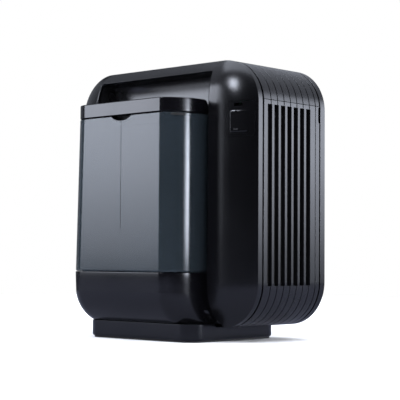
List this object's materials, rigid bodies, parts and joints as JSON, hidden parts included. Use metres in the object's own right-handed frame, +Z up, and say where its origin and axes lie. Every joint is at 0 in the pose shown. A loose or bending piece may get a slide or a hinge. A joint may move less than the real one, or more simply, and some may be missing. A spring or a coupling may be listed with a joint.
{
  "type": "cool mist humidifier",
  "caption": "Rounded square evaporative humidifier with a ribbed band, slotted side panels and a lift-out smoke-grey water tank on a low pedestal.",
  "frame": {"origin": "centre of the bounding box on the floor, under the rubber foot ring", "axes": "+Z up; -Y towards the water tank and +Y towards the mist outlet and controls; +X towards the right side panel as seen from the tank side"},
  "size_m": [0.295, 0.2186, 0.33],
  "materials": {
    "shell_black": "satin",
    "band_black": "fine texture",
    "bay_black": "satin",
    "tank_smoke": "translucent",
    "lid_black": "polished",
    "inner_plastic": "moulded",
    "tray_grey": "moulded",
    "valve_white": "moulded",
    "float_foam": "foamed",
    "wick_paper": "honeycomb",
    "rubber_black": "matt",
    "steel": "plated",
    "motor_can": "galvanised",
    "board_green": "lacquered",
    "panel_gloss": "polished",
    "lens_green": "clear",
    "brass_pin": "plated"
  },
  "bodies": {
    "housing": {"rear_shell": "shell_black", "front_shell": "shell_black", "chassis_ring": "inner_plastic", "top_band": "band_black", "bottom_band": "band_black", "tank_bay": "bay_black", "reservoir_housing": "shell_black", "pedestal": "shell_black", "base_plate": "inner_plastic", "foot_ring": "rubber_black", "water_tray": "tray_grey", "filter_frame_right": "inner_plastic", "filter_frame_left": "inner_plastic", "wick_filter_right": "wick_paper", "wick_filter_left": "wick_paper", "humidity_sensor": "board_green", "fan_shroud": "inner_plastic", "motor_mount": "inner_plastic", "fan_motor": "motor_can", "outlet_grille": "band_black", "control_panel": "panel_gloss", "control_board": "board_green", "speed_control": "motor_can", "power_switch": "inner_plastic", "indicator_lens": "lens_green", "power_inlet": "panel_gloss", "inlet_pins": "brass_pin", "case_screws": "steel", "motor_screws": "steel", "base_screws": "steel"},
    "tank": {"water_tank": "tank_smoke"},
    "lid": {"tank_lid": "lid_black", "lid_seal": "rubber_black"},
    "cap": {"tank_cap": "inner_plastic", "cap_seal": "rubber_black", "valve_cage": "valve_white", "valve_spring": "steel"},
    "valve": {"valve_plunger": "valve_white", "valve_washer": "rubber_black"},
    "float": {"float": "float_foam"},
    "fan": {"fan_rotor": "inner_plastic", "motor_shaft": "steel"},
    "right_panel": {"side_panel_right": "band_black"},
    "left_panel": {"side_panel_left": "band_black"},
    "cover": {"access_cover": "shell_black"},
    "knob": {"speed_knob": "lid_black", "knob_shaft": "steel"},
    "button": {"power_button": "lid_black"}
  },
  "joints": [
    {"name": "tank_lift", "type": "slide", "parent": "housing", "child": "tank", "axis": [0, -0.7071, 0.7071], "range_m": [0, 0.15]},
    {"name": "lid_lift", "type": "slide", "parent": "tank", "child": "lid", "axis": [0, 0, 1], "range_m": [0, 0.018]},
    {"name": "cap_twist", "type": "hinge", "parent": "tank", "child": "cap", "pos_m": [-0.012, -0.05625, 0.07], "axis": [0, 0, 1], "range_deg": [0, 270]},
    {"name": "valve_press", "type": "slide", "parent": "cap", "child": "valve", "axis": [0, 0, 1], "range_m": [0, 0.003], "stiffness_N_per_m": 150, "springref_m": -0.004, "deforming": ["valve_spring"]},
    {"name": "float_rise", "type": "slide", "parent": "housing", "child": "float", "axis": [0, 0, 1], "range_m": [0, 0.012]},
    {"name": "fan_spin", "type": "hinge", "parent": "housing", "child": "fan", "pos_m": [0, 0.04775, 0.155], "axis": [0, 1, 0], "continuous": true},
    {"name": "right_panel_pull", "type": "slide", "parent": "housing", "child": "right_panel", "axis": [1, 0, 0], "range_m": [0, 0.07]},
    {"name": "left_panel_pull", "type": "slide", "parent": "housing", "child": "left_panel", "axis": [-1, 0, 0], "range_m": [0, 0.07]},
    {"name": "cover_pull", "type": "slide", "parent": "housing", "child": "cover", "axis": [0, -1, 0], "range_m": [0, 0.025]},
    {"name": "knob_turn", "type": "hinge", "parent": "housing", "child": "knob", "pos_m": [0.048, 0.09625, 0.266], "axis": [0, -1, 0], "range_deg": [0, 270]},
    {"name": "button_press", "type": "slide", "parent": "housing", "child": "button", "axis": [0, -1, 0], "range_m": [0, 0.0008], "stiffness_N_per_m": 800, "springref_m": -0.0006}
  ]
}
